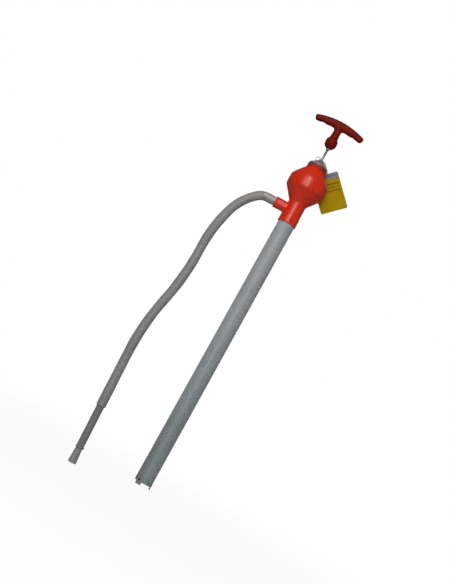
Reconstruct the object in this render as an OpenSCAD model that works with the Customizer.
// Hand bilge pump: a lift pump with a clear-walled barrel, a moulded bulb head with a side spout,
// a rod and piston worked by a T handle, a discharge hose and a swing tag.
// Frame: +Z runs up the barrel axis, the origin is the middle of the foot, -X is the way the
// spout points. The handle's bar and the hose lie in the XZ plane, the tag on the +Y side.

/* [Barrel] */
// Outside diameter of the barrel tube
barrel_d = 38; // [38:0.5:40]
// Wall thickness of the barrel tube
barrel_wall = 2; // [1.8:0.1:2]
// Length of the barrel that shows below the head
barrel_show = 627.8; // [560:1:660]
// Depth of the head's socket that the barrel is glued into
socket_depth = 20.2; // [16:0.1:22]
// Height of the teeth at the foot
tooth_h = 6; // [4:0.5:8]
// Width of each tooth
tooth_w = 13; // [9:0.5:15]
// Bearing of the first tooth about the barrel axis
tooth_bearing = 239; // [0:1:360]

/* [Head] */
// Outside diameter of the collar round the barrel
collar_d = 42.2; // [42:0.1:44]
// Outside diameter of the waist between collar and bulb
waist_d = 40.2; // [38:0.2:41]
// Largest diameter of the bulb
bulb_d = 88.6; // [80:0.5:92]
// Wall thickness of the bulb
bulb_wall = 2.4; // [1.8:0.1:3]
// Height of the bulb's widest line above the collar's lower edge
belt_rise = 94.7; // [92:0.1:97]
// Outside diameter of the neck that the cap snaps on
neck_d = 39; // [38:0.5:39]
// Bore through the waist, which also stops the piston
waist_bore_d = 31; // [29:0.5:31]
// Outside diameter of the spout
spout_d = 25; // [24:0.5:28]
// Distance from the barrel axis to the spout's mouth
spout_reach = 45; // [42:0.5:50]
// Height of the spout axis above the collar's lower edge
spout_rise = 32.1; // [31.8:0.1:33]

/* [Cap] */
// Outside diameter of the cap's skirt
cap_d = 45.6; // [44:0.2:47]
// Height of the cap's skirt
cap_skirt_h = 14.6; // [13:0.2:16]
// Height of the cap's coned top
cap_cone_h = 13.4; // [12:0.2:15]

/* [Rod and handle] */
// Diameter of the pump rod
rod_d = 5; // [4.8:0.1:5.2]
// Gap between the cap and the handle's boss with the rod parked
rod_show = 32.6; // [30:0.2:40]
// Length of the handle's bar, end to end
bar_l = 119; // [105:1:130]
// Thickness of the bar
bar_h = 16.4; // [14:0.2:18]
// Radius of the bar's arched top
bar_arc_r = 158; // [130:1:220]
// Diameter of the handle's boss
boss_d = 27.6; // [24:0.2:30]

/* [Piston and foot valve] */
// Height of the piston's lower nut above the foot with the rod parked
piston_z = 25; // [25:1:40]
// Lift of each valve disc
disc_lift = 3; // [2:0.5:3]
// Number of ports through each valve seat
port_count = 6; // [4:1:6]

/* [Hose] */
// Outside diameter of the hose
hose_d = 20.5; // [19:0.5:21]
// Outside diameter of the smooth cuff in the spout
cuff_d = 20; // [20:0.1:20]
// Straight run of the cuff past the barrel axis
cuff_run = 63.6; // [62:0.2:70]
// Radius of the tight bend out of the spout
bend1_r = 31.5; // [28:0.5:36]
// Turn of the tight bend
bend1_deg = 40.8; // [36:0.2:44]
// Radius of the second bend
bend2_r = 122; // [110:1:140]
// Turn of the second bend
bend2_deg = 32.2; // [28:0.2:36]
// Radius of the third bend
bend3_r = 322; // [300:1:350]
// Turn of the third bend
bend3_deg = 18.6; // [15:0.2:20]
// Radius of the outward sag
bend4_r = 555; // [500:5:620]
// Turn of the outward sag
bend4_deg = 13.9; // [10:0.2:15]
// Radius of the last bend
bend5_r = 528; // [500:2:600]
// Turn of the last bend
bend5_deg = 14.8; // [12:0.2:16]
// Straight run from the last bend to the outlet
tail_run = 252; // [240:1:260]
// Length of the smooth tail tube that shows past the hose
tail_show = 95; // [80:1:100]
// Length of the outlet tip that shows past the tail tube
tip_show = 33.5; // [28:0.5:38]

/* [Tag] */
// Width of the swing tag
tag_w = 60; // [54:0.5:62]
// Length of the swing tag
tag_l = 85.5; // [76:0.5:86]
// Thickness of the tag
tag_t = 0.8; // [0.6:0.1:1.2]

/* [Hidden] */
$fn = 72;

clearance = 0.05;                       // running clearance on a radius
past = 1;                               // how far a cut runs past the face it opens

barrel_r = barrel_d/2;
barrel_bore_r = barrel_r - barrel_wall;
barrel_top = barrel_show + socket_depth;
head_z = barrel_show;                   // lower edge of the head
spout_z = head_z + spout_rise;
belt_z = head_z + belt_rise;            // widest line of the bulb
skirt_z = head_z + 132.9;               // lower edge of the cap
skirt_top = skirt_z + cap_skirt_h;
cap_top = skirt_top + cap_cone_h;
boss_z = cap_top + rod_show;            // lower face of the handle's boss
bar_top = boss_z + 68.2;
rod_r = rod_d/2;
rod_bore_r = rod_r + clearance;
nut_across_flats = 8;
nut_h = 4;

// ---- shared helpers ------------------------------------------------------------------------

// Arc of the given radius that rounds the corner at b between its neighbours a and c.
function corner(a, b, c, radius, steps) =
    radius <= 0 ? [b] :
    let (to_a = (a - b)/norm(a - b),
         to_c = (c - b)/norm(c - b),
         half = acos(max(-1, min(1, to_a*to_c)))/2,
         setback = radius/tan(half),
         centre = b + (to_a + to_c)/norm(to_a + to_c)*(radius/sin(half)),
         first = b + to_a*setback - centre,
         last = b + to_c*setback - centre,
         start = atan2(first[1], first[0]),
         end = atan2(last[1], last[0]),
         sweep = ((end - start + 540) % 360) - 180)
    [for (i = [0:steps]) let (angle = start + sweep*i/steps)
        centre + radius*[cos(angle), sin(angle)]];

// Points of a closed path with rounded corners: each entry is [x, y, corner radius].
function rounded(path, steps) =
    let (count = len(path))
    [for (i = [0:count-1])
        let (a = path[(i + count - 1) % count], b = path[i], c = path[(i + 1) % count])
        each corner([a[0], a[1]], [b[0], b[1]], [c[0], c[1]], b[2], steps)];

module up(z) translate([0, 0, z]) children();

// Cutter for a through hole in a piece that stands on z = 0.
module bore(r, height) up(-past) cylinder(r = r, h = height + 2*past);

module ring(outer_r, bore_r, height) difference() {
    cylinder(r = outer_r, h = height);
    bore(bore_r, height);
}

// Hexagon nut with a plain bore for the rod.
module hex_nut() difference() {
    cylinder(r = nut_across_flats/2/cos(30), h = nut_h, $fn = 6);
    bore(rod_bore_r, nut_h);
}

// Cutters for the ring of ports through a valve seat.
module ports(pitch_r, port_r, height)
    for (i = [0:port_count-1]) rotate(i*360/port_count)
        translate([pitch_r, 0, 0]) bore(port_r, height);

// ---- barrel --------------------------------------------------------------------------------

pin_z = tooth_h + 4;
pin_r = 2.2;
pin_l = 6;

function tooth_angle(i) = tooth_bearing + 120*i;

// One radial cylinder above each tooth, from start_r outwards.
module radial_pins(start_r, r)
    for (i = [0:2]) rotate(tooth_angle(i)) translate([start_r, 0, pin_z])
        rotate([0, 90, 0]) cylinder(r = r, h = pin_l);

// Wedge that clears the foot between two bearings.
module tooth_gap(from, to) {
    wedge_r = 30;
    steps = 6;
    up(-past) linear_extrude(height = tooth_h + past) polygon([
        [0, 0],
        for (i = [0:steps]) let (a = from + (to - from)*i/steps) wedge_r*[cos(a), sin(a)]]);
}

module barrel_tube() color("#8f9694") {
    half_tooth = asin(tooth_w/2/barrel_r);
    difference() {
        union() {
            cylinder(r = barrel_r, h = barrel_show);
            up(barrel_show - 1) cylinder(r = barrel_r - 0.2, h = socket_depth + 1);
        }
        bore(barrel_bore_r, barrel_top);
        for (i = [0:2]) tooth_gap(tooth_angle(i) + half_tooth, tooth_angle(i + 1) - half_tooth);
        radial_pins(barrel_bore_r - 2, pin_r + clearance);
    }
}

// ---- head ----------------------------------------------------------------------------------

collar_r = collar_d/2;
waist_r = waist_d/2;
waist_bore_r = waist_bore_d/2;
bulb_r = bulb_d/2;
belt_edge_r = bulb_r - 0.6;
belt_inner_r = belt_edge_r - bulb_wall;
neck_r = neck_d/2;
neck_bore_r = neck_r - bulb_wall;
cone_z = head_z + 51.2;                 // where the lower cone leaves the waist
belt_low = belt_z - 12.6;               // where the lower cone meets the belt
belt_high = belt_z + 11;                // where the belt starts to close
shoulder_z = belt_z + 18.5;
shoulder_r = bulb_r - 5.1;
shoulder_slope = 0.782;                 // the shoulder closes this far in for each unit up
neck_z = shoulder_z + (shoulder_r - neck_r)/shoulder_slope;
neck_top = skirt_z + 14;
spout_lip = 3;                          // length of the thicker band at the spout's mouth
spout_bore_x = -8;                      // inner end of the spout's bore, inside the waist bore

// Both outlines are [radius, height, corner radius].
head_outer = [
    [0, head_z, 0], [collar_r, head_z, 0.8], [collar_r, head_z + 17, 8],
    [waist_r, head_z + 26, 8], [waist_r, cone_z, 12],
    [belt_edge_r, belt_low, 12], [bulb_r, belt_z, 0.8], [belt_edge_r, belt_high, 7],
    [shoulder_r, shoulder_z, 1.2],
    [neck_r, neck_z, 4], [neck_r, neck_top, 0.6], [0, neck_top, 0]];
head_inner = [
    [0, barrel_top, 0], [waist_bore_r, barrel_top, 0], [waist_bore_r, cone_z - 2, 8],
    [belt_inner_r, belt_low + 1.6, 12], [belt_inner_r, belt_high - 0.8, 5],
    [shoulder_r - bulb_wall, shoulder_z - 0.8, 2],
    [neck_bore_r, neck_z - 1, 3], [neck_bore_r, neck_top + past, 0], [0, neck_top + past, 0]];

module pump_head() color("#c02a14") difference() {
    union() {
        rotate_extrude() polygon(rounded(head_outer, 8));
        up(spout_z) rotate([0, -90, 0]) {
            cylinder(r = spout_d/2, h = spout_reach);
            up(spout_reach - spout_lip) cylinder(r = spout_d/2 + 0.5, h = spout_lip);
        }
    }
    up(head_z - past) cylinder(r = barrel_r - 0.15, h = socket_depth + past);
    rotate_extrude() polygon(rounded(head_inner, 8));
    translate([spout_bore_x, 0, spout_z]) rotate([0, -90, 0])
        cylinder(r = cuff_d/2 + clearance, h = spout_reach);
}

// ---- cap -----------------------------------------------------------------------------------

cap_r = cap_d/2;
seal_r = 6.2;
seal_h = 2.55;
cap_cavity_top = cap_top - 4.6;

// [radius, height, corner radius]
cap_outer = [
    [0, skirt_z + 8.06, 0], [neck_r - 0.5, skirt_z + 8.06, 0], [cap_r, skirt_z + 2, 0.5],
    [cap_r, skirt_top, 2.5], [5.2, cap_top - 1, 3], [4.2, cap_top, 0], [0, cap_top, 0]];
// [radius, height]
cap_cavity = [
    [0, skirt_z - past], [neck_r + 0.1, skirt_z - past], [neck_r + 0.1, neck_top + 0.1],
    [seal_r + 0.1, cap_cavity_top], [0, cap_cavity_top]];

module head_cap() color("#b9a8a6") difference() {
    rotate_extrude() polygon(rounded(cap_outer, 6));
    rotate_extrude() polygon(cap_cavity);
    up(skirt_z) cylinder(r = rod_bore_r, h = 60);
}

module rod_seal() color("#202020")
    up(cap_cavity_top - clearance - seal_h) ring(seal_r, rod_bore_r, seal_h);

// ---- rod and handle ------------------------------------------------------------------------

rod_z = piston_z + 0.5;
rod_in = 20;                            // how far the rod reaches into the boss
insert_rise = 5;                        // height of the insert above the boss's lower face
insert_r = 5.5;
insert_h = 16;
boss_r = boss_d/2;
bar_inset = 8;                          // from the bar's end to the centre of its end ball

// [radius, height, corner radius]
boss_outline = [
    [0, boss_z, 0], [9, boss_z, 1.5], [boss_r, boss_z + 7, 7], [boss_r, boss_z + 14, 8],
    [9.2, boss_z + 30, 14], [9.4, boss_z + 44, 6], [15, boss_z + 56, 0], [0, boss_z + 56, 0]];

module pump_rod() color("#9aa0a0") up(rod_z) cylinder(r = rod_r, h = boss_z + rod_in - rod_z);

module handle_lock_nut() color("#c8ccc8") up(boss_z - nut_h - 0.05) hex_nut();

module handle_insert() color("#b8923c") up(boss_z + insert_rise) difference() {
    cylinder(r = insert_r, h = insert_h, $fn = 6);
    up(-past) cylinder(r = rod_bore_r, h = past + rod_in + 0.1 - insert_rise);
}

// Arched bar with a ball at each end.
module handle_bar() {
    centre_r = bar_arc_r - bar_h/2;
    arc_z = bar_top - bar_arc_r;
    half_turn = asin((bar_l/2 - bar_inset)/centre_r);
    up(arc_z) rotate([90, 0, 0]) rotate(90 - half_turn)
        rotate_extrude(angle = 2*half_turn) translate([centre_r, 0]) circle(r = bar_h/2);
    for (side = [-1, 1])
        translate([side*centre_r*sin(half_turn), 0, arc_z + centre_r*cos(half_turn)])
            sphere(r = bar_h/2 + 0.25);
}

module t_handle() color("#7e1a12") difference() {
    union() {
        rotate_extrude() polygon(rounded(boss_outline, 6));
        handle_bar();
    }
    up(boss_z - past) {
        cylinder(r = 5.8, h = past + 3);    // round recess in the lower face
        cylinder(r = rod_bore_r, h = past + rod_in + 0.2);
    }
    up(boss_z + insert_rise - clearance)
        cylinder(r = insert_r + clearance, h = insert_h + 2*clearance, $fn = 6);
}

// ---- piston --------------------------------------------------------------------------------
// The stack runs up the rod: nut, washer, body with cup and retainer, disc on its spacer,
// stop washer, nut.

seat_gap = 0.03;                        // gap under a disc or cup that rests on a face
disc_h = 1.5;
washer_h = 1;
body_z = piston_z + nut_h + washer_h + 0.1;
flange_h = 3;
hub_r = 12;
hub_h = 12;
cup_z = body_z + flange_h;
cup_h = 10;
cup_floor = 2;
seat_z = body_z + hub_h;                // the valve seat on top of the hub
spacer_r = 4;
spacer_h = disc_h + 0.1 + disc_lift;
stop_z = seat_z + spacer_h + 0.05;
stop_h = 1.2;

module piston_bottom_nut() color("#9aa0a0") up(piston_z) hex_nut();

module piston_bottom_washer() color("#9aa0a0")
    up(piston_z + nut_h + 0.02) ring(6, rod_bore_r, washer_h);

module piston_body() color("#d8d4c8") up(body_z) difference() {
    union() {
        cylinder(r = barrel_bore_r - 0.35, h = flange_h);
        cylinder(r = hub_r, h = hub_h);
    }
    ports(pitch_r = 7.4, port_r = 2.6, height = hub_h);
    bore(rod_bore_r, hub_h);
}

module piston_cup() color("#2a2622") up(cup_z + seat_gap) difference() {
    cylinder(r = barrel_bore_r - 0.06, h = cup_h);
    bore(hub_r + clearance, cup_h);
    up(cup_floor) cylinder(r1 = barrel_bore_r - 1.9, r2 = barrel_bore_r - 1.2,
        h = cup_h - cup_floor + 0.01);
}

module cup_retainer() color("#d8d4c8")
    up(cup_z + cup_floor + 0.08) ring(barrel_bore_r - 2.2, hub_r + 0.02, 2);

module piston_valve_disc() color("#2a2a2a")
    up(seat_z + seat_gap) ring(11.4, spacer_r + clearance, disc_h);

module valve_spacer() color("#9aa0a0") up(seat_z + 0.01) ring(spacer_r, rod_bore_r, spacer_h);

module valve_stop_washer() color("#9aa0a0") up(stop_z) ring(9, rod_bore_r, stop_h);

module piston_top_nut() color("#9aa0a0") up(stop_z + stop_h + 0.05) hex_nut();

// ---- foot valve ----------------------------------------------------------------------------

foot_z = tooth_h + 0.6;
foot_h = 11;
foot_seat_z = foot_z + foot_h;
screw_r = 2;
screw_hole_floor = 2;
screw_rise = 2.5;                       // height of the screw's end above the body's underside
screw_head_z = foot_h - screw_rise + 1.7 + disc_lift;   // above the screw's end

module foot_valve_body() color("#c8ccc8") difference() {
    up(foot_z) cylinder(r = barrel_bore_r - clearance, h = foot_h);
    up(foot_z) ports(pitch_r = 8.2, port_r = 2.7, height = foot_h);
    up(foot_z + screw_hole_floor) cylinder(r = screw_r + clearance, h = foot_h);
    radial_pins(13, pin_r + clearance);
}

module foot_valve_disc() color("#2a2a2a")
    up(foot_seat_z + seat_gap) ring(13.4, screw_r + clearance, disc_h);

module foot_valve_screw() color("#9aa0a0") up(foot_z + screw_rise) difference() {
    union() {
        cylinder(r = screw_r, h = foot_h + disc_lift);
        up(screw_head_z) cylinder(r = 5, h = 2.6);
    }
    // Cross slot in the head.
    for (a = [0, 90]) rotate(a) translate([-3, -0.5, screw_head_z + 1.5]) cube([6, 1, 2]);
}

// The pins are trimmed to just under the barrel's outside.
module foot_pins() color("#202224") intersection() {
    radial_pins(13.2, pin_r);
    cylinder(r = barrel_r - 0.03, h = 2*pin_z);
}

// ---- hose ----------------------------------------------------------------------------------
// The centreline is one flat chain of runs that starts at the inner end of the cuff, heading
// along -X. A positive turn is anticlockwise seen from -Y. A pose is [x, z, heading], and a
// distance is measured along the centreline from its start.

cuff_in = 26;                           // distance from the barrel axis to the cuff's inner end

function bend(radius, turn) = [PI*radius*abs(turn)/180, radius, turn];

// [length, radius, turn], where the turn is 0 on a straight
RUNS = [
    [cuff_run - cuff_in, 0, 0],
    bend(bend1_r, bend1_deg),
    bend(bend2_r, bend2_deg),
    bend(bend3_r, bend3_deg),
    bend(bend4_r, -bend4_deg),
    bend(bend5_r, bend5_deg),
    [tail_run, 0, 0]];
last_run = len(RUNS) - 1;

function run_start(i) = i <= 0 ? 0 : run_start(i - 1) + RUNS[i - 1][0];

// The pose a distance along a run that starts at the given pose.
function along(pose, run, distance) =
    let (x = pose[0], z = pose[1], heading = pose[2], turn = run[2])
    turn == 0 ? [x + distance*cos(heading), z + distance*sin(heading), heading] :
    let (arm = sign(turn)*run[1], end = heading + distance/run[0]*turn)
    [x + arm*(sin(end) - sin(heading)), z + arm*(cos(heading) - cos(end)), end];

function pose_at(i) = i <= 0 ? [-cuff_in, spout_z, 180] :
    along(pose_at(i - 1), RUNS[i - 1], RUNS[i - 1][0]);

// Puts children a distance along run i, with their +Z along the heading.
module on_run(i, distance) {
    pose = along(pose_at(i), RUNS[i], distance);
    translate([pose[0], 0, pose[1]]) rotate([0, 90 - pose[2], 0]) children();
}

// A bend that starts at the origin heading +Z and turns towards -X for a positive turn.
module bend_tube(radius, turn, outer_r, bore_r)
    mirror([turn > 0 ? 0 : 1, 0, 0]) translate([-radius, 0, 0]) rotate([90, 0, 0])
        rotate_extrude(angle = abs(turn)) translate([radius, 0]) difference() {
            circle(r = outer_r);
            circle(r = bore_r);
        }

// Hollow tube along the centreline between two distances. Every other run is a hair thinner
// in its wall and laps a little into its neighbours, so that the runs join into one solid.
module along_hose(from, to, outer_r, bore_r) {
    lap = 0.4;
    for (i = [0:last_run]) {
        thin = i % 2 == 1;
        low = run_start(i);
        high = run_start(i + 1);
        if (min(to, high) > max(from, low) + 0.01) {
            run = RUNS[i];
            start = max(from, low) - low - (thin && from < low - lap ? lap : 0);
            end = min(to, high) - low + (thin && to > high + lap ? lap : 0);
            shave = thin ? 0.03 : 0;
            on_run(i, start)
                if (run[2] == 0) ring(outer_r - shave, bore_r + shave, end - start);
                else bend_tube(run[1], (end - start)/run[0]*run[2],
                    outer_r - shave, bore_r + shave);
        }
    }
}

hose_r = hose_d/2;
hose_bore_r = 8.25;
flex_gap = 2.5;                         // half of the space left at each flex point
hose_start = (run_start(1) + run_start(2))/2;   // half way round the tight bend
flex1 = run_start(3);
flex2 = run_start(4);
flex3 = run_start(5);
tail_end = run_start(last_run + 1) - tip_show;
hose_end = tail_end - tail_show;
tail_in = 22;                           // length of the tail tube inside the hose
tail_bore_r = 6.4;
tail_l = tail_in + tail_show;
tail_band = 3;                          // length of the raised band at the tail tube's end
tip_in = 10;                            // length of the outlet tip inside the tail tube
tip_r = 9.3;
tip_rim = 2;                            // length of the straight rim at the outlet

module hose_cuff() color("#a8acab") {
    along_hose(0, hose_start - 0.1, cuff_d/2, 7.4);
    // Plug inside the hose, lapped into the cuff.
    along_hose(hose_start - 0.7, hose_start + 9, hose_bore_r - clearance, 7.55);
}

module hose_piece(from, to) color("#8a8d8c") along_hose(from, to, hose_r, hose_bore_r);
module hose_top() hose_piece(hose_start, flex1 - flex_gap);
module hose_upper() hose_piece(flex1 + flex_gap, flex2 - flex_gap);
module hose_lower() hose_piece(flex2 + flex_gap, flex3 - flex_gap);
module hose_bottom() hose_piece(flex3 + flex_gap, hose_end);

// Puts children on the last straight run, at a distance along the whole centreline.
module on_tail(distance) on_run(last_run, distance - run_start(last_run)) children();

module hose_tail() color("#6c6f70") on_tail(hose_end - tail_in) difference() {
    union() {
        cylinder(r = hose_bore_r - clearance, h = tail_l);
        up(tail_l - tail_band) {
            cylinder(r = 8.7, h = tail_band);
            // A lug on each side of the band.
            for (side = [-1, 1]) translate([side*8.2 - 0.9, -2, 0]) cube([1.8, 4, tail_band]);
        }
    }
    bore(tail_bore_r, tail_l);
}

module outlet_tip() color("#9a9d9c") on_tail(tail_end - tip_in) difference() {
    union() {
        cylinder(r = tail_bore_r - clearance, h = tip_in + 2);
        up(tip_in + 0.05) cylinder(r1 = 7.2, r2 = tip_r, h = tip_show - tip_rim);
        up(tip_in + tip_show - tip_rim) cylinder(r = tip_r, h = tip_rim);
    }
    bore(5.5, tip_in + tip_show);
}

// ---- tag -----------------------------------------------------------------------------------
// The tag hangs on a thin cord that is looped round the rod on top of the cap.

tag_hole = [28, 40, head_z + 141.8];
tag_yaw = -8;
tag_lean = 4;
tag_roll = 42.8;
tag_top = 10.5;                         // from the hole to the card's top edge
tag_bottom = tag_top - tag_l;
cord_r = 0.6;
cord_loop_r = 4.6;

module tag_card() color("#b49618")
    translate(tag_hole) rotate([tag_lean, 0, tag_yaw]) rotate([0, -tag_roll, 0])
        rotate([90, 0, 0]) up(-tag_t/2) difference() {
            linear_extrude(height = tag_t) polygon(rounded([
                [-tag_w/2, tag_bottom, 3], [tag_w/2, tag_bottom, 3],
                [tag_w/2, tag_top, 3], [-tag_w/2, tag_top, 3]], 5));
            bore(2.5, tag_t);
        }

module strand(from, to) {
    line = to - from;
    translate(from) rotate([0, acos(line[2]/norm(line)), atan2(line[1], line[0])])
        cylinder(r = cord_r, h = norm(line));
}

module tag_cord() color("#b8b8b4") {
    // Cord points from the loop, past the cap's edge and through the tag towards +Y.
    loop = [cord_loop_r, 0, cap_top + 0.8];
    edge = [20.5, 13.5, cap_top - 11.2];
    near = tag_hole - [0, 2.2, 0];
    far = tag_hole + [0, 2.6, 0];
    up(loop[2]) rotate_extrude() translate([cord_loop_r, 0]) circle(r = cord_r);
    strand(loop, edge);
    strand(edge, near);
    strand(near, far);
    for (joint = [loop, edge, near]) translate(joint) sphere(r = 0.75);
    translate(far) sphere(r = 1.5);
    // Half ring that stands on the cap at the loop's -X side.
    translate([-6.8, -3, cap_top + 0.2]) rotate([90, 0, 0])
        rotate_extrude(angle = 180) translate([2.6, 0]) circle(r = cord_r);
}

// ---- the parts -----------------------------------------------------------------------------

barrel_tube();
pump_head();
head_cap();
rod_seal();
pump_rod();
t_handle();
handle_insert();
handle_lock_nut();
piston_body();
piston_cup();
cup_retainer();
piston_valve_disc();
valve_spacer();
valve_stop_washer();
piston_top_nut();
piston_bottom_washer();
piston_bottom_nut();
foot_valve_body();
foot_valve_disc();
foot_valve_screw();
foot_pins();
hose_cuff();
hose_top();
hose_upper();
hose_lower();
hose_bottom();
hose_tail();
outlet_tip();
tag_card();
tag_cord();
